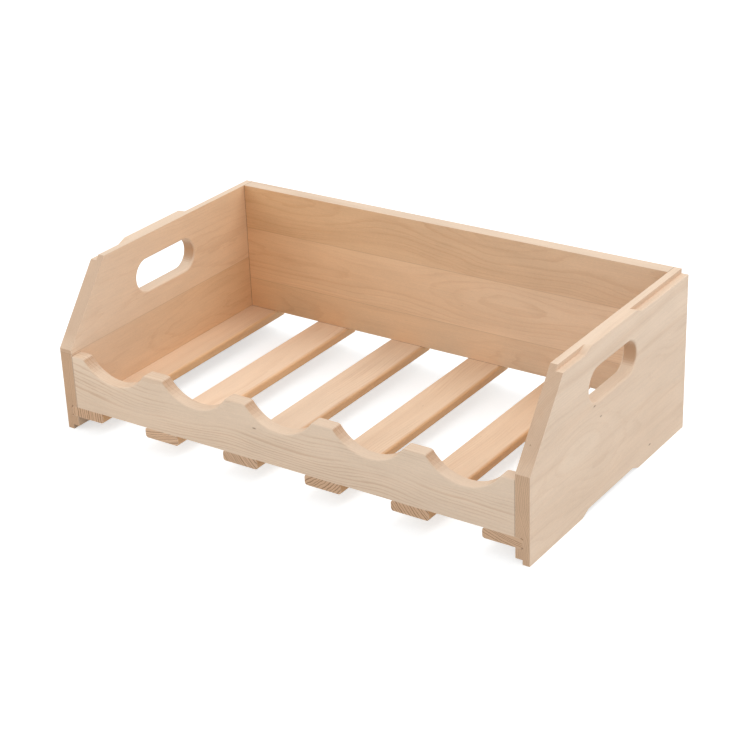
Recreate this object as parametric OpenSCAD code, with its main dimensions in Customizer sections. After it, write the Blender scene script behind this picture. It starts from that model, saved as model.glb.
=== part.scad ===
// Stackable wine rack: two shaped side panels joined by a back panel and a scalloped front rail,
// standing on six slats that run front to back.
// Units are millimetres. X is the width, Y runs from the front to the back, Z is up from the floor.
// The origin is on the floor, at the middle of the width and of the depth.

/* [Overall] */
// overall width across the two side panels
rack_w = 550; // [530:1:600]
// overall depth from front edge to rear edge
rack_d = 315; // [290:1:360]
// overall height from the feet to the top edges
rack_h = 173; // [165:1:200]
// thickness of the side panels, back panel and front rail
board_t = 15; // [14:0.5:20]

/* [Side Panels] */
// height at which the vertical front edge turns into the slope
front_edge_h = 91; // [88:1:105]
// how far back the slope reaches the top edge
slope_run = 63; // [45:1:80]
// height of the stacking step, cut through half of the panel's thickness
step_h = 5; // [3:0.5:7]
// length along the top of the raised stacking key
key_l = 90; // [60:1:110]
// length of each sloped end of the key
key_run = 12; // [8:1:16]
// play at each end between the key and the notch of the rack above
key_play = 0.5; // [0.2:0.1:2]

/* [Handles] */
// overall length of the hand hole
handle_l = 95; // [85:1:110]
// height of the hand hole
handle_h = 35; // [28:1:38]
// height of the hand hole's centre above the floor
handle_z = 128.5; // [124:0.5:132]
// radius of the rounded-over rim of the hand hole
handle_rim = 2.5; // [1:0.5:3.5]

/* [Front Rail] */
// height of the rail's flat lands above the floor
rail_top = 85; // [80:1:87]
// radius of the bottle scallops
scallop_r = 48; // [44:1:50]
// depth of the scallops below the lands
scallop_depth = 21; // [16:1:24]
// length of the flat land between each side panel and the first scallop
end_land = 15; // [12:1:18]

/* [Slats] */
// width of each slat
slat_w = 42; // [36:1:48]
// thickness of each slat
slat_t = 11; // [10:0.5:14]
// height of the slats' underside above the floor
slat_z = 16; // [14:0.5:18]
// radius of the slats' eased long edges
slat_round = 3; // [0.5:0.5:5]

/* [Joinery] */
// diameter of the wooden dowels
dowel_d = 8; // [6:0.5:8]
// length of the wooden dowels
dowel_l = 30; // [25:1:32]
// depth to which a dowel enters the side panel
dowel_in_side = 9; // [7:0.5:10]
// diameter of the wood screws
screw_d = 3.5; // [3:0.5:4]
// length of the wood screws
screw_l = 25; // [22:1:28]
// diameter of the screws' countersunk heads
screw_head_d = 7; // [6:0.5:8]

/* [Hidden] */
$fn = 64;
half_w = rack_w / 2;
half_d = rack_d / 2;
half_t = board_t / 2;
inner_w = rack_w - 2 * board_t;
bottle_count = 5;
slat_count = bottle_count + 1;
slat_top = slat_z + slat_t;
slat_pitch = (rack_w - board_t - slat_w) / bottle_count;
housing_play = 0.1;
ledge_h = rack_h - step_h;
ledge_front = slope_run * (ledge_h - front_edge_h) / (rack_h - front_edge_h);
key_top = key_l / 2;
key_base = key_top + key_run;
notch_top = key_top + key_play;
notch_base = notch_top + key_run;
handle_r = handle_h / 2;
handle_reach = handle_l / 2 - handle_r;
scallop_rise = scallop_r - scallop_depth;
scallop_half = sqrt(scallop_r * scallop_r - scallop_rise * scallop_rise);
scallop_pitch = (inner_w - 2 * end_land - 2 * scallop_half) / (bottle_count - 1);
joint_front_y = half_t - half_d;
joint_back_y = half_d - half_t;
rail_dowel_z = [50, 68];
back_dowel_z = [56, 102, 148];
dowel_play = 0.1;
dowel_end_play = 0.5;
dowel_chamfer = 1;
pilot_play = 0.05;
screw_play = 0.25;
head_sink = 0.1;
head_h = screw_head_d / 3;
tip_l = 5;
tip_r = 0.3;
recess_w = 0.9;
recess_h = 1.4;
overcut = 1;
eps = 0.01;
beech = [0.87, 0.74, 0.6];
beech_pale = [0.91, 0.79, 0.66];
beech_warm = [0.85, 0.69, 0.53];
steel = [0.72, 0.72, 0.7];

// Extrudes an outline drawn in Y and Z along X, from x to x + length.
module along_x(x, length) {
    translate([x, 0, 0])
        rotate([90, 0, 90])
            linear_extrude(length)
                children();
}

// Extrudes an outline drawn in X and Z along Y, from y to y + length.
module along_y(y, length) {
    translate([0, y + length, 0])
        rotate([90, 0, 0])
            linear_extrude(length)
                children();
}

// Inner half of a side panel: plain top and bottom edges.
module inner_half_outline() {
    polygon([
        [-half_d, step_h],
        [half_d, step_h],
        [half_d, rack_h],
        [slope_run - half_d, rack_h],
        [-half_d, front_edge_h]
    ]);
}

// Outer half: feet with a notch between them, and a key between two lower ledges.
module outer_half_outline() {
    polygon([
        [-half_d, 0],
        [-notch_base, 0],
        [-notch_top, step_h],
        [notch_top, step_h],
        [notch_base, 0],
        [half_d, 0],
        [half_d, ledge_h],
        [key_base, ledge_h],
        [key_top, rack_h],
        [-key_top, rack_h],
        [-key_base, ledge_h],
        [ledge_front - half_d, ledge_h],
        [-half_d, front_edge_h]
    ]);
}

// Cross-section through half of the hand hole's rim, from the wall at depth to the panel's face.
module rim_outline() {
    difference() {
        square([handle_r + handle_rim, handle_rim + eps]);
        translate([handle_r + handle_rim, 0])
            circle(handle_rim);
    }
}

// The flared mouth of the hand hole, opening towards +Z.
module handle_mouth() {
    for (side = [-1, 1])
        translate([side * handle_reach, 0, 0])
            rotate_extrude()
                rim_outline();
    for (flip = [0, 1])
        mirror([0, flip, 0])
            rotate([90, 0, 90])
                translate([0, 0, -handle_reach])
                    linear_extrude(2 * handle_reach)
                        rim_outline();
}

// Everything cut away by the hand hole of the left side panel.
module handle_cut() {
    along_x(-half_w - overcut, board_t + 2 * overcut)
        translate([0, handle_z]) {
            square([2 * handle_reach, handle_h], center = true);
            for (side = [-1, 1])
                translate([side * handle_reach, 0])
                    circle(handle_r);
        }
    translate([-half_w + board_t - handle_rim, 0, handle_z])
        rotate([90, 0, 90])
            handle_mouth();
    translate([-half_w + handle_rim, 0, handle_z])
        rotate([90, 0, -90])
            handle_mouth();
}

// Bores for dowels in the left end joint, around the rows of heights given.
module left_dowel_bores(y, heights) {
    for (z = heights)
        translate([board_t - half_w - dowel_in_side - dowel_end_play, y, z])
            rotate([0, 90, 0])
                cylinder(h = dowel_l + 2 * dowel_end_play, r = dowel_d / 2 + dowel_play);
}

// Bores for dowels in both end joints.
module both_dowel_bores(y, heights) {
    for (flip = [0, 1])
        mirror([flip, 0, 0])
            left_dowel_bores(y, heights);
}

module side_panel() {
    difference() {
        union() {
            along_x(-half_w, half_t)
                outer_half_outline();
            along_x(half_t - half_w, half_t)
                inner_half_outline();
        }
        handle_cut();
        translate([half_t - half_w, -half_d - overcut, slat_z - housing_play])
            cube([board_t, rack_d + 2 * overcut, slat_t + 2 * housing_play]);
        left_dowel_bores(joint_front_y, rail_dowel_z);
        left_dowel_bores(joint_back_y, back_dowel_z);
    }
}

module left_side_panel() {
    color(beech_pale)
        side_panel();
}

module right_side_panel() {
    color(beech)
        mirror([1, 0, 0])
            side_panel();
}

// Pilot bores for the row of slat screws under a board whose middle is at y.
module pilot_bores(y) {
    for (i = [0 : slat_count - 1])
        translate([slat_x(i), y, slat_top - overcut])
            cylinder(h = screw_l - slat_t + 2 * overcut, r = screw_d / 2 + pilot_play);
}

function slat_x(i) = (slat_w + board_t) / 2 - half_w + i * slat_pitch;

module back_panel() {
    color(beech_warm)
        difference() {
            translate([-inner_w / 2, half_d - board_t, slat_top])
                cube([inner_w, board_t, rack_h - slat_top]);
            both_dowel_bores(joint_back_y, back_dowel_z);
            pilot_bores(joint_back_y);
        }
}

module rail_outline() {
    difference() {
        translate([-inner_w / 2, slat_top])
            square([inner_w, rail_top - slat_top]);
        for (i = [0 : bottle_count - 1])
            translate([(i - (bottle_count - 1) / 2) * scallop_pitch, rail_top + scallop_rise])
                circle(scallop_r, $fn = 128);
    }
}

module front_rail() {
    color(beech)
        difference() {
            along_y(-half_d, board_t)
                rail_outline();
            both_dowel_bores(joint_front_y, rail_dowel_z);
            pilot_bores(joint_front_y);
        }
}

// A slat's section with its four long edges eased, standing on the line z = 0.
module slat_outline() {
    translate([-slat_w / 2, slat_round])
        square([slat_w, slat_t - 2 * slat_round]);
    translate([slat_round - slat_w / 2, 0])
        square([slat_w - 2 * slat_round, slat_t]);
    for (x = [slat_round - slat_w / 2, slat_w / 2 - slat_round])
        for (z = [slat_round, slat_t - slat_round])
            translate([x, z])
                circle(slat_round);
}

// Countersunk clearance hole, opening downwards at z = 0.
module screw_hole() {
    translate([0, 0, -overcut])
        cylinder(h = slat_t + 2 * overcut, r = screw_d / 2 + screw_play);
    translate([0, 0, -eps])
        cylinder(
            h = head_h + screw_play,
            r1 = screw_head_d / 2 + screw_play,
            r2 = screw_d / 2 + screw_play
        );
}

module slat(i) {
    color(beech_warm)
        translate([slat_x(i), 0, slat_z])
            difference() {
                along_y(-half_d, rack_d)
                    slat_outline();
                for (y = [joint_front_y, joint_back_y])
                    translate([0, y, 0])
                        screw_hole();
            }
}

module slat_1() { slat(0); }
module slat_2() { slat(1); }
module slat_3() { slat(2); }
module slat_4() { slat(3); }
module slat_5() { slat(4); }
module slat_6() { slat(5); }

// A wooden dowel along +X from the origin, with chamfered ends.
module dowel() {
    r = dowel_d / 2;
    rotate([0, 90, 0]) {
        cylinder(h = dowel_chamfer, r1 = r - dowel_chamfer / 2, r2 = r);
        translate([0, 0, dowel_chamfer])
            cylinder(h = dowel_l - 2 * dowel_chamfer, r = r);
        translate([0, 0, dowel_l - dowel_chamfer])
            cylinder(h = dowel_chamfer, r1 = r, r2 = r - dowel_chamfer / 2);
    }
}

module left_dowels(y, heights) {
    for (z = heights)
        translate([board_t - half_w - dowel_in_side, y, z])
            dowel();
}

module left_rail_dowels() {
    color(beech_pale)
        left_dowels(joint_front_y, rail_dowel_z);
}

module right_rail_dowels() {
    color(beech_pale)
        mirror([1, 0, 0])
            left_dowels(joint_front_y, rail_dowel_z);
}

module left_back_dowels() {
    color(beech_pale)
        left_dowels(joint_back_y, back_dowel_z);
}

module right_back_dowels() {
    color(beech_pale)
        mirror([1, 0, 0])
            left_dowels(joint_back_y, back_dowel_z);
}

// A countersunk wood screw driven upwards, its head's face at z = 0.
module wood_screw() {
    difference() {
        union() {
            cylinder(h = head_h, r1 = screw_head_d / 2, r2 = screw_d / 2);
            cylinder(h = screw_l - tip_l, r = screw_d / 2);
            translate([0, 0, screw_l - tip_l])
                cylinder(h = tip_l, r1 = screw_d / 2, r2 = tip_r);
        }
        for (turn = [0, 90])
            rotate([0, 0, turn])
                translate([-screw_head_d / 4, -recess_w / 2, -overcut])
                    cube([screw_head_d / 2, recess_w, recess_h + overcut]);
    }
}

module slat_screws(y) {
    color(steel)
        for (i = [0 : slat_count - 1])
            translate([slat_x(i), y, slat_z + head_sink])
                wood_screw();
}

module front_slat_screws() { slat_screws(joint_front_y); }
module rear_slat_screws() { slat_screws(joint_back_y); }

left_side_panel();
right_side_panel();
back_panel();
front_rail();
slat_1();
slat_2();
slat_3();
slat_4();
slat_5();
slat_6();
left_rail_dowels();
right_rail_dowels();
left_back_dowels();
right_back_dowels();
front_slat_screws();
rear_slat_screws();
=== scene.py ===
import math
from collections import namedtuple

import bmesh
import bpy
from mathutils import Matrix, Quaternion, Vector


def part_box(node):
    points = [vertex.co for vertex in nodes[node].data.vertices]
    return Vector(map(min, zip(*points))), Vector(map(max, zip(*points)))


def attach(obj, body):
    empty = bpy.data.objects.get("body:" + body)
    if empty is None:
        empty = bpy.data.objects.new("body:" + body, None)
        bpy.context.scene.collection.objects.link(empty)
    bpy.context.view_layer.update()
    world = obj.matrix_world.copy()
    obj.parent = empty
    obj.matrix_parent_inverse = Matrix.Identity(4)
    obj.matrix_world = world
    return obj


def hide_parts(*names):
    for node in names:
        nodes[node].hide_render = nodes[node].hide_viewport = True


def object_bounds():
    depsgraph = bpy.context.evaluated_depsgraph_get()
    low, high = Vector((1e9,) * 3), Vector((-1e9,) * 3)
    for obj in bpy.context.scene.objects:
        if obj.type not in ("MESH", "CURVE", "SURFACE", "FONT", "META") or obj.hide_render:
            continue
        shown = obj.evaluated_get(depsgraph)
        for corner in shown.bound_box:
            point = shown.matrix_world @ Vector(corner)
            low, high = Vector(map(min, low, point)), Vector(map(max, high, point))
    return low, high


# The looks of a stackable wooden wine rack: oiled pale hardwood boards on a white sweep.
# Lengths are metres unless a name ends in _MM.

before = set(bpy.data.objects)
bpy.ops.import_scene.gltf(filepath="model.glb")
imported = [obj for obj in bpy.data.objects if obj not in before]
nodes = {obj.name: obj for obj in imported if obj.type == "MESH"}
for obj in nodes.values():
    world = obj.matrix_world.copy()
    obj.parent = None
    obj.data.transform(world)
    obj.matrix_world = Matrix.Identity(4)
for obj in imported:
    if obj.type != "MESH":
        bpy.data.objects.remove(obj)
cad_low, cad_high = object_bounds()
rack_centre = (cad_low + cad_high) / 2
rack_size = cad_high - cad_low

MM = 0.001

# Eased edges
PANEL_ARRIS = 0.6 * MM
SLAT_ARRIS = 0.6 * MM
SHOULDER_EASE = 2.2 * MM
PROFILE_EASE = 1.8 * MM
WELD_DISTANCE = 0.002 * MM
FLAT_ANGLE = math.radians(0.5)
EDGE_ANGLE = math.radians(22.4)

# Wood colours, linear
PALE_WOOD = (0.850, 0.668, 0.508)
LATE_WOOD = (0.660, 0.440, 0.285)
# WARM_TINT tints both the wood's own warmer colour and painted warm bounce light and shade.
WARM_TINT = (0.975, 0.775, 0.545)
END_GRAIN = (0.700, 0.470, 0.305)
END_RING = (0.330, 0.180, 0.100)
# Dark flecks, and the dark of glue lines and painted shadow lines at joints.
FLECK_AND_SHADOW_DARK = (0.240, 0.120, 0.055)
# Lighter arrises: wear, with a painted highlight.
WORN_AND_LIT_WOOD = (0.900, 0.730, 0.560)
# Painted shade on the walls of recesses.
RECESS_SHADE_COLOUR = (0.420, 0.225, 0.115)
STEEL = (0.560, 0.565, 0.580)

# How squarely a face must look along the fibres before it shows end grain
END_GRAIN_FROM = {"X": 0.42, "Y": 0.60}

# Spacing of the pitch flecks, in millimetres
FLECK_CELL_LONG = 55
FLECK_CELL_WIDE = 20

# Stage
FLOOR_LIFT = 0.60

# Camera
VIEW_AZIMUTH = math.radians(34.62)
VIEW_ELEVATION = math.radians(25.68)
VIEW_ROLL = math.radians(-2.22)
VIEW_DISTANCE = 1.932
VIEW_LENS_MM = 91.4
AIM_RIGHT = 6.1 * MM
AIM_BELOW = 25.6 * MM


# Shader graph ---------------------------------------------------------------------------------


class Graph:
    """Builds one material's nodes. Each method returns the socket that holds its result."""

    def __init__(self, name):
        self.material = bpy.data.materials.new(name)
        self.material.use_nodes = True
        self.tree = self.material.node_tree
        self.tree.nodes.clear()

    def add(self, kind, **settings):
        node = self.tree.nodes.new(kind)
        for key, value in settings.items():
            setattr(node, key, value)
        return node

    def feed(self, socket, value):
        """Sets a socket to a constant, or links another socket to it."""
        if isinstance(value, bpy.types.NodeSocket):
            self.tree.links.new(value, socket)
        elif isinstance(value, tuple) and len(value) == 3 and socket.type == "RGBA":
            socket.default_value = (*value, 1.0)
        else:
            socket.default_value = value

    def calc(self, operation, a, b=0.0, c=0.0, clamp=False):
        node = self.add("ShaderNodeMath", operation=operation, use_clamp=clamp)
        for socket, value in zip(node.inputs, (a, b, c)):
            self.feed(socket, value)
        return node.outputs[0]

    def join(self, x, y, z):
        node = self.add("ShaderNodeCombineXYZ")
        for socket, value in zip(node.inputs, (x, y, z)):
            self.feed(socket, value)
        return node.outputs[0]

    def split(self, vector):
        node = self.add("ShaderNodeSeparateXYZ")
        self.feed(node.inputs[0], vector)
        return node.outputs[0], node.outputs[1], node.outputs[2]

    def noise(self, vector, detail=2.0, roughness=0.5, distortion=0.0):
        node = self.add("ShaderNodeTexNoise", noise_dimensions="3D")
        self.feed(node.inputs["Vector"], vector)
        self.feed(node.inputs["Scale"], 1.0)
        self.feed(node.inputs["Detail"], detail)
        self.feed(node.inputs["Roughness"], roughness)
        self.feed(node.inputs["Distortion"], distortion)
        return node.outputs[0]

    def random(self, number):
        """Three random numbers from 0 to 1 for each value of number."""
        node = self.add("ShaderNodeTexWhiteNoise", noise_dimensions="1D")
        self.feed(node.inputs["W"], number)
        return self.split(node.outputs["Color"])

    def remap(self, value, low, high, to_low=0.0, to_high=1.0, smooth=True):
        kind = "SMOOTHSTEP" if smooth else "LINEAR"
        node = self.add("ShaderNodeMapRange", interpolation_type=kind, clamp=True)
        for socket, number in zip(node.inputs, (value, low, high, to_low, to_high)):
            self.feed(socket, number)
        return node.outputs[0]

    def blend(self, factor, first, second, how="MIX"):
        node = self.add("ShaderNodeMix", data_type="RGBA", blend_type=how)
        self.feed(node.inputs["Factor"], factor)
        colours = [s for s in node.inputs if s.type == "RGBA"]
        self.feed(colours[0], first)
        self.feed(colours[1], second)
        return [s for s in node.outputs if s.type == "RGBA"][0]

    def bump(self, height, strength, distance):
        node = self.add("ShaderNodeBump")
        self.feed(node.inputs["Strength"], strength)
        self.feed(node.inputs["Distance"], distance)
        self.feed(node.inputs["Height"], height)
        return node.outputs[0]

    def finish(self, **inputs):
        """Puts one Principled shader with these inputs on the material's output."""
        shader = self.add("ShaderNodeBsdfPrincipled")
        for name, value in inputs.items():
            self.feed(shader.inputs[name.replace("_", " ")], value)
        output = self.add("ShaderNodeOutputMaterial")
        self.tree.links.new(shader.outputs[0], output.inputs["Surface"])
        return self.material


# Wood -----------------------------------------------------------------------------------------

Stave = namedtuple("Stave", "top pith tone warmth")


def sorted_middle(graph, a, b, c):
    """The middle one of three values."""
    smaller = graph.calc("MINIMUM", a, b)
    larger = graph.calc("MAXIMUM", a, b)
    return graph.calc("MAXIMUM", smaller, graph.calc("MINIMUM", larger, c))


def wood(
    name,
    node_name,
    grain,
    staves,
    contact_shadows_at=(),
    seed=0.0,
    ring_mm=2.6,
    figure=12.0,
    line=1.0,
    smoke=1.0,
    end_line=0.75,
    painted_side_bounce=0.0,
    painted_up_down_light=0.0,
    painted_up_down_warmth=0.0,
):
    """Wood cut as a board out of a log, so faces and end grain show the same growth rings.

    grain is the axis the fibres run along. staves lists, from the bottom of the board up, each
    stave's top edge in millimetres above the floor, where its log's centre lies (millimetres
    across and up from the board's middle), its tone, and its warmth at the board's two ends;
    that warmth is partly the stave's own colour and partly painted warm bounce light and shade.
    contact_shadows_at are the places along the grain, in millimetres, where a neighbour's face
    meets the board's upper side and a painted contact shadow runs across it. figure is how far
    the rings wander; line, smoke and end_line are the strengths of the ring lines, of the broad
    darker bands and of the rings on end grain.
    painted_side_bounce is painted warm bounce light that makes the faces looking across the grain
    warmer. painted_up_down_light and painted_up_down_warmth are painted light and painted warmth
    on the faces that look up or down; negative values paint them darker and take warmth away.
    """
    low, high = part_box(node_name)
    middle = (low + high) / 2
    half = (high - low) / 2 / MM
    g = Graph(name)

    coordinates = g.add("ShaderNodeTexCoord")
    placed = g.add("ShaderNodeMapping")
    g.feed(placed.inputs["Vector"], coordinates.outputs["Object"])
    placed.inputs["Location"].default_value = -middle / MM
    placed.inputs["Scale"].default_value = (1 / MM, 1 / MM, 1 / MM)
    x, y, z = g.split(placed.outputs[0])
    along, across = (x, y) if grain == "X" else (y, x)

    def per_stave(values):
        """The value of the stave that a point lies in."""
        total = values[0]
        for stave, below, above in zip(staves, values, values[1:]):
            joint = g.calc("GREATER_THAN", z, stave.top - middle.z / MM)
            total = g.calc("MULTIPLY_ADD", joint, above - below, total)
        return total

    pith_across = per_stave([s.pith[0] for s in staves])
    pith_up = per_stave([s.pith[1] for s in staves])
    tone = per_stave([s.tone for s in staves])
    length = half.x if grain == "X" else half.y
    # Warmth from one end of the board to the other: partly the stave's own colour, partly painted
    # warm bounce light and shade.
    toward = g.remap(along, -length, length, smooth=False)
    start = per_stave([s.warmth[0] for s in staves])
    finish = per_stave([s.warmth[1] for s in staves])
    warmth = g.calc("MULTIPLY_ADD", toward, g.calc("SUBTRACT", finish, start), start)
    shift = per_stave([seed * 137.0 + 911.0 * i for i in range(len(staves))])
    run = g.calc("ADD", along, shift)

    def fibres(lengthwise, crosswise, **settings):
        """Noise drawn out along the grain. The two numbers are its waves per millimetre."""
        place = g.join(
            g.calc("MULTIPLY", run, lengthwise),
            g.calc("MULTIPLY", across, crosswise),
            g.calc("MULTIPLY", z, crosswise),
        )
        return g.noise(place, **settings)

    # Growth rings round the pith, wandering slowly along the grain.
    slow = fibres(0.0045, 0.010, detail=1.5)
    du = g.calc("SUBTRACT", across, pith_across)
    dv = g.calc("SUBTRACT", z, pith_up)
    radius = g.calc("SQRT", g.calc("ADD", g.calc("POWER", du, 2.0), g.calc("POWER", dv, 2.0)))
    radius = g.calc("MULTIPLY_ADD", g.calc("SUBTRACT", slow, 0.5), figure * 2, radius)
    radius = g.calc("MULTIPLY_ADD", fibres(0.03, 0.2), 1.8, radius)
    uneven = g.noise(g.join(g.calc("MULTIPLY", radius, 0.09), seed * 3.1, 0.0))
    turns = g.calc("MULTIPLY_ADD", uneven, 4.0, g.calc("DIVIDE", radius, ring_mm))
    ring = g.calc("FRACT", turns)
    late = g.calc("MULTIPLY", g.remap(ring, 0.55, 0.93), g.remap(ring, 1.0, 0.95))
    band = g.noise(g.join(g.calc("MULTIPLY", radius, 0.12), seed * 1.7, 0.0))

    fibre = fibres(0.016, 0.85, detail=3.0, roughness=0.6)
    pore = fibres(0.16, 1.9)
    streak = fibres(0.006, 0.11)
    cloud = fibres(0.018, 0.05, detail=2.0)
    speckle = fibres(0.35, 0.9, detail=2.0, roughness=0.7)
    patchy = g.remap(fibres(0.008, 0.03, detail=3.0), 0.35, 0.65, 0.02 * line, 0.30 * line)

    # End grain shows where the surface faces along the fibres.
    normal = g.split(g.add("ShaderNodeNewGeometry").outputs["True Normal"])
    facing = g.calc("ABSOLUTE", normal[0] if grain == "X" else normal[1])
    end = g.remap(facing, END_GRAIN_FROM[grain], 1.0)

    # Distance inwards from the board's faces.
    to_x, to_y, to_z = (
        g.calc("SUBTRACT", size, g.calc("ABSOLUTE", value))
        for size, value in zip(half, (x, y, z))
    )

    # Painted shade on recess walls: end grain away from the board's own ends, such as hole and
    # scallop walls, and rebates.
    to_end = to_x if grain == "X" else to_y
    recess_shade = g.calc("MULTIPLY", end, g.remap(to_end, 3.0, 12.0))
    if grain == "Y":
        rebate_shade = g.calc("MULTIPLY", g.calc("ABSOLUTE", normal[0]), g.remap(to_x, 1.5, 3.0))
        recess_shade = g.calc("MAXIMUM", recess_shade, g.calc("MULTIPLY", rebate_shade, 0.7))

    # Arrises are lighter, partly from wear and partly as a painted highlight. The middle one of
    # the three distances to the board's faces is the distance to its nearest edge.
    ragged = g.calc("MULTIPLY_ADD", pore, 1.2, sorted_middle(g, to_x, to_y, to_z))
    wear_and_highlight = g.remap(ragged, 0.7, 1.9, 1.0, 0.0)

    # Colour.
    face = g.blend(g.calc("MULTIPLY", late, patchy), PALE_WOOD, LATE_WOOD)
    face = g.blend(g.remap(band, 0.40, 0.72, 0.0, 0.30 * smoke), face, LATE_WOOD)
    face = g.blend(g.remap(streak, 0.52, 0.75, 0.0, 0.26 * smoke), face, LATE_WOOD)
    cut = g.blend(g.calc("MULTIPLY", late, end_line), END_GRAIN, END_RING)
    colour = g.blend(end, face, cut)
    sideways = g.calc("ABSOLUTE", normal[1] if grain == "X" else normal[0])
    upright = g.calc("ABSOLUTE", normal[2])
    # Painted warm bounce light by face direction: changed on faces that look up or down, added on
    # faces that look across the grain.
    warmth = g.calc("MULTIPLY_ADD", upright, painted_up_down_warmth, warmth)
    warmth = g.calc("MULTIPLY_ADD", sideways, painted_side_bounce, warmth, clamp=True)
    colour = g.blend(warmth, colour, WARM_TINT, how="MULTIPLY")
    light = g.calc("MULTIPLY_ADD", g.calc("SUBTRACT", fibre, 0.5), 0.13, 1.0)
    light = g.calc("MULTIPLY_ADD", g.calc("SUBTRACT", speckle, 0.5), 0.14, light)
    light = g.calc("ADD", light, tone)
    # Painted light on faces that look up or down; a negative value paints shade there.
    light = g.calc("MULTIPLY_ADD", upright, painted_up_down_light, light)
    light = g.calc("MULTIPLY_ADD", g.calc("SUBTRACT", cloud, 0.5), 0.15, light)
    light = g.calc("SUBTRACT", light, g.remap(pore, 0.60, 0.78, 0.0, 0.07))
    colour = g.blend(1.0, colour, g.join(light, light, light), how="MULTIPLY")
    # Painted shade on the walls of recesses.
    colour = g.blend(g.calc("MULTIPLY", recess_shade, 0.42), colour, RECESS_SHADE_COLOUR)
    # Lighter arrises: wear, with a painted highlight.
    colour = g.blend(g.calc("MULTIPLY", wear_and_highlight, 0.18), colour, WORN_AND_LIT_WOOD)

    # Thin dark lines: glue lines between two staves; at a butted end, partly a glue line and
    # partly painted shadow in the joint; and painted contact shadow across a board that another
    # stands on.
    dark = 0.0
    for stave in staves[:-1]:
        off = g.calc("ABSOLUTE", g.calc("SUBTRACT", z, stave.top - middle.z / MM))
        dark = g.calc("MAXIMUM", dark, g.remap(off, 0.1, 0.6, 0.22, 0.0))
    # At each butted end, partly a glue line and partly painted shadow in the joint.
    if grain == "X":
        dark = g.calc("MAXIMUM", dark, g.remap(to_x, 0.2, 1.1, 0.65, 0.0))
    # Painted contact shadow where a neighbour's face meets the board's upper side.
    for contact_line in contact_shadows_at:
        off = g.calc("ABSOLUTE", g.calc("SUBTRACT", along, contact_line))
        upper = g.calc("GREATER_THAN", z, half.z - 0.4)
        shade = g.calc("MULTIPLY", upper, g.remap(off, 0.3, 1.0, 0.7, 0.0))
        dark = g.calc("MAXIMUM", dark, shade)
    colour = g.blend(dark, colour, FLECK_AND_SHADOW_DARK)

    # A few small dark flecks, drawn out along the grain.
    cells = g.add("ShaderNodeTexVoronoi", feature="F1", voronoi_dimensions="3D")
    place = g.join(
        g.calc("DIVIDE", run, FLECK_CELL_LONG),
        g.calc("DIVIDE", across, FLECK_CELL_WIDE),
        g.calc("DIVIDE", z, FLECK_CELL_WIDE),
    )
    g.feed(cells.inputs["Vector"], place)
    g.feed(cells.inputs["Scale"], 1.0)
    chosen = g.calc("GREATER_THAN", g.split(cells.outputs["Color"])[0], 0.72)
    spot = g.remap(cells.outputs["Distance"], 0.02, 0.06, 0.7, 0.0)
    colour = g.blend(g.calc("MULTIPLY", spot, chosen), colour, FLECK_AND_SHADOW_DARK)

    # Finish: oiled and matt, a little smoother on worn arrises, rougher on end grain.
    rough = g.calc("MULTIPLY_ADD", g.calc("SUBTRACT", fibre, 0.5), 0.18, 0.56)
    rough = g.calc("MULTIPLY_ADD", end, 0.14, rough)
    rough = g.calc("MULTIPLY_ADD", wear_and_highlight, -0.08, rough)
    height = g.calc("MULTIPLY_ADD", late, 0.35, fibre)
    height = g.calc("MULTIPLY_ADD", pore, 0.45, height)
    return g.finish(
        Base_Color=colour,
        Roughness=rough,
        Normal=g.bump(height, 0.35, 0.12 * MM),
        IOR=1.45,
        Coat_Weight=0.05,
        Coat_Roughness=0.42,
    )


def screw_steel():
    """Bright zinc-plated steel with faint turning marks."""
    g = Graph("zinc_steel")
    coordinates = g.add("ShaderNodeTexCoord")
    placed = g.add("ShaderNodeMapping")
    g.feed(placed.inputs["Vector"], coordinates.outputs["Object"])
    placed.inputs["Scale"].default_value = (900.0, 900.0, 2400.0)
    marks = g.noise(placed.outputs[0], detail=3.0)
    colour = g.blend(g.remap(marks, 0.35, 0.7), STEEL, (0.42, 0.41, 0.39))
    return g.finish(
        Base_Color=colour,
        Metallic=1.0,
        Roughness=g.calc("MULTIPLY_ADD", marks, 0.2, 0.24),
        Normal=g.bump(marks, 0.2, 0.05 * MM),
    )


# Shape ----------------------------------------------------------------------------------------


def ease(piece, arris):
    """Rounds every crisp edge of a board, and keeps its flat faces flat."""
    weld = piece.modifiers.new("weld", "WELD")
    weld.merge_threshold = WELD_DISTANCE
    flat = piece.modifiers.new("flat", "DECIMATE")
    flat.decimate_type = "DISSOLVE"
    flat.angle_limit = FLAT_ANGLE
    bevel = piece.modifiers.new("arris", "BEVEL")
    bevel.width = arris
    bevel.segments = 3
    bevel.limit_method = "ANGLE"
    bevel.angle_limit = EDGE_ANGLE
    bevel.miter_outer = "MITER_ARC"
    normals = piece.modifiers.new("normals", "WEIGHTED_NORMAL")
    normals.mode = "FACE_AREA"
    normals.weight = 50


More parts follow.
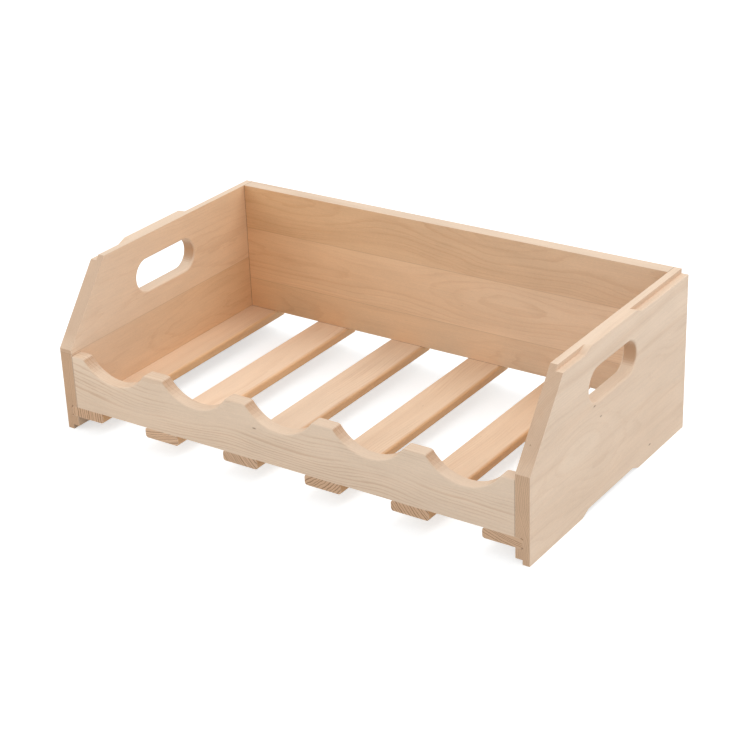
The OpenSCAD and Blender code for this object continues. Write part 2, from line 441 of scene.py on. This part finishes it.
def eased_rail():
    """The front rail with its shoulders and the long edges of its scalloped top rounded over."""
    cad = nodes["front_rail"]
    low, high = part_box("front_rail")
    mesh = bmesh.new()
    mesh.from_mesh(cad.data)
    bmesh.ops.remove_doubles(mesh, verts=mesh.verts, dist=WELD_DISTANCE)
    bmesh.ops.dissolve_limit(mesh, angle_limit=FLAT_ANGLE, verts=mesh.verts, edges=mesh.edges)

    def is_shoulder(edge):
        a, b = (v.co for v in edge.verts)
        at_top = min(a.z, b.z) > high.z - 0.1 * MM
        runs_deep = abs(a.x - b.x) < 0.1 * MM and abs(a.y - b.y) > 1 * MM
        return at_top and runs_deep and edge.calc_face_angle(0.0) < math.radians(80)

    def is_profile(edge):
        a, b = (v.co for v in edge.verts)
        on_top = min(a.z, b.z) > low.z + 1 * MM
        runs_along = abs(a.x - b.x) > 0.001 * MM and abs(a.y - b.y) < 0.001 * MM
        return on_top and runs_along and edge.calc_face_angle(0.0) > math.radians(80)

    for chosen, radius in ((is_shoulder, SHOULDER_EASE), (is_profile, PROFILE_EASE)):
        bmesh.ops.bevel(
            mesh,
            geom=[edge for edge in mesh.edges if chosen(edge)],
            offset=radius,
            segments=6,
            profile=0.5,
            affect="EDGES",
            clamp_overlap=False,
        )
    data = bpy.data.meshes.new("front_rail_eased")
    mesh.to_mesh(data)
    mesh.free()
    rail = bpy.data.objects.new("front_rail_eased", data)
    bpy.context.scene.collection.objects.link(rail)
    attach(rail, "root")
    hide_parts("front_rail")
    return rail


def dress(piece, material):
    piece.data.materials.clear()
    piece.data.materials.append(material)


# Boards ---------------------------------------------------------------------------------------

back_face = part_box("back_panel")[0].y / MM
rail_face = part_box("front_rail")[1].y / MM

# One plank fills each board, except where boards are glued up from staves.
# The left panel and the back grow warmer towards the corner where they meet: painted warm bounce
# light and shade.
left_wood = wood(
    "left_panel_wood", "left_side_panel", "Y",
    (Stave(87, (150, -40), -0.03, (0.20, 0.95)), Stave(173, (-160, 30), 0.005, (0.0, 0.70))),
    seed=3.0, figure=9.0, ring_mm=1.6, line=0.9, smoke=0.6, end_line=0.35, painted_up_down_warmth=-1.0,
)
right_wood = wood(
    "right_panel_wood", "right_side_panel", "Y",
    (Stave(173, (150, -30), 0.0, (0.0, 0.0)),),
    seed=11.0, figure=14.0, ring_mm=1.8, line=0.55, smoke=1.0, end_line=0.35,
)
back_wood = wood(
    "back_wood", "back_panel", "X",
    (
        Stave(62, (48, -60), 0.02, (0.95, 0.15)),
        Stave(123, (-52, 0), 0.06, (0.90, 0.10)),
        Stave(173, (60, 75), -0.05, (1.00, 0.35)),
    ),
    seed=24.0, figure=14.0, line=1.1, smoke=0.8, painted_up_down_warmth=-1.0,
)
rail_wood = wood(
    "rail_wood", "front_rail", "X",
    (Stave(85, (44, 42), 0.02, (0.10, 0.0)),),
    seed=5.0, figure=20.0, ring_mm=2.4, line=2.2, smoke=0.5, end_line=0.45, painted_up_down_light=-0.08,
)

for name, material in (
    ("left_side_panel", left_wood),
    ("right_side_panel", right_wood),
    ("back_panel", back_wood),
):
    dress(nodes[name], material)
    ease(nodes[name], PANEL_ARRIS)

rail = eased_rail()
dress(rail, rail_wood)
ease(rail, PANEL_ARRIS)

# Where the log's centre lies from each slat sets the slope of its end-grain rings.
SLAT_PITHS = ((120, 8), (-14, 85), (70, 62), (-75, 70), (82, 66), (20, 90))
SLAT_TONES = (0.04, 0.15, 0.03, 0.02, 0.02, 0.02)
SLAT_WARMTHS = (0.18, 0.00, 0.00, 0.12, 0.15, 0.08)
for number, (pith, tone, warmth) in enumerate(zip(SLAT_PITHS, SLAT_TONES, SLAT_WARMTHS), start=1):
    name = f"slat_{number}"
    # Each slat is warmer towards the rear: painted warm bounce light and shade near the back
    # panel.
    plank = (Stave(rack_size.z / MM, pith, tone, (warmth, warmth + 0.15)),)
    grown = wood(
        f"{name}_wood", name, "Y", plank,
        contact_shadows_at=(rail_face, back_face), seed=40.0 + number, ring_mm=3.1,
        line=1.2, smoke=0.6, end_line=1.0, painted_side_bounce=0.9,
    )
    dress(nodes[name], grown)
    ease(nodes[name], SLAT_ARRIS)

for name in ("left_rail_dowels", "right_rail_dowels", "left_back_dowels", "right_back_dowels"):
    plank = (Stave(rack_size.z / MM, (30, 20), -0.05, (0.2, 0.2)),)
    dress(nodes[name], wood(f"{name}_wood", name, "X", plank, seed=70.0, ring_mm=1.8))

steel = screw_steel()
for name in ("front_slat_screws", "rear_slat_screws"):
    dress(nodes[name], steel)


# Stage ----------------------------------------------------------------------------------------


def white_floor():
    """A plain white floor that takes soft shadows, lifted towards white where the camera sees it.
    """
    data = bpy.data.meshes.new("floor")
    mesh = bmesh.new()
    bmesh.ops.create_grid(mesh, x_segments=1, y_segments=1, size=12.0)
    mesh.to_mesh(data)
    mesh.free()
    floor = bpy.data.objects.new("floor", data)
    floor.location.z = cad_low.z
    bpy.context.scene.collection.objects.link(floor)
    g = Graph("white_floor")
    seen = g.add("ShaderNodeLightPath").outputs["Is Camera Ray"]
    paper = g.finish(
        Base_Color=(0.62, 0.66, 0.69),
        Roughness=0.9,
        Emission_Color=(1.0, 1.0, 1.0),
        Emission_Strength=g.calc("MULTIPLY", seen, FLOOR_LIFT),
    )
    dress(floor, paper)


def softbox(name, direction, distance, size, power, colour=(1.0, 1.0, 1.0)):
    """A square soft light that looks at the rack from a direction."""
    data = bpy.data.lights.new(name, "AREA")
    data.shape = "SQUARE"
    data.size = size
    data.energy = power
    data.color = colour
    light = bpy.data.objects.new(name, data)
    back = Vector(direction).normalized()
    light.location = rack_centre + back * distance
    light.rotation_mode = "QUATERNION"
    light.rotation_quaternion = (-back).to_track_quat("-Z", "Y")
    bpy.context.scene.collection.objects.link(light)


def studio_world(colour, strength):
    """Soft light from all round, behind a backdrop that looks as white as the floor."""
    world = bpy.data.worlds.new("studio")
    world.use_nodes = True
    tree = world.node_tree
    lit = tree.nodes["Background"]
    lit.inputs["Color"].default_value = (*colour, 1.0)
    lit.inputs["Strength"].default_value = strength
    backdrop = tree.nodes.new("ShaderNodeBackground")
    backdrop.inputs["Color"].default_value = (1.0, 1.0, 1.0, 1.0)
    backdrop.inputs["Strength"].default_value = 1.0
    seen = tree.nodes.new("ShaderNodeLightPath").outputs["Is Camera Ray"]
    either = tree.nodes.new("ShaderNodeMixShader")
    tree.links.new(seen, either.inputs[0])
    tree.links.new(lit.outputs[0], either.inputs[1])
    tree.links.new(backdrop.outputs[0], either.inputs[2])
    tree.links.new(either.outputs[0], tree.nodes["World Output"].inputs["Surface"])
    bpy.context.scene.world = world


def product_camera():
    data = bpy.data.cameras.new("camera")
    data.lens = VIEW_LENS_MM
    data.clip_end = 50.0
    camera = bpy.data.objects.new("camera", data)
    back = Vector(
        (
            math.sin(VIEW_AZIMUTH) * math.cos(VIEW_ELEVATION),
            -math.cos(VIEW_AZIMUTH) * math.cos(VIEW_ELEVATION),
            math.sin(VIEW_ELEVATION),
        )
    )
    aim = rack_centre + Vector((AIM_RIGHT, 0.0, -AIM_BELOW))
    camera.location = aim + back * VIEW_DISTANCE
    camera.rotation_mode = "QUATERNION"
    level = (-back).to_track_quat("-Z", "Y")
    camera.rotation_quaternion = level @ Quaternion((0.0, 0.0, 1.0), VIEW_ROLL)
    bpy.context.scene.collection.objects.link(camera)
    bpy.context.scene.camera = camera


white_floor()
studio_world((1.0, 0.98, 0.96), 0.74)
softbox("overhead", (0.25, 0.48, 1.0), 2.1, 1.2, 13.3)
softbox("left_fill", (-1.0, -0.95, 0.60), 2.4, 1.2, 10.3)
softbox("right_fill", (1.0, 0.10, 0.12), 2.1, 1.4, 8.6, colour=(0.98, 0.97, 1.0))
product_camera()
bpy.context.scene.view_settings.view_transform = "Standard"
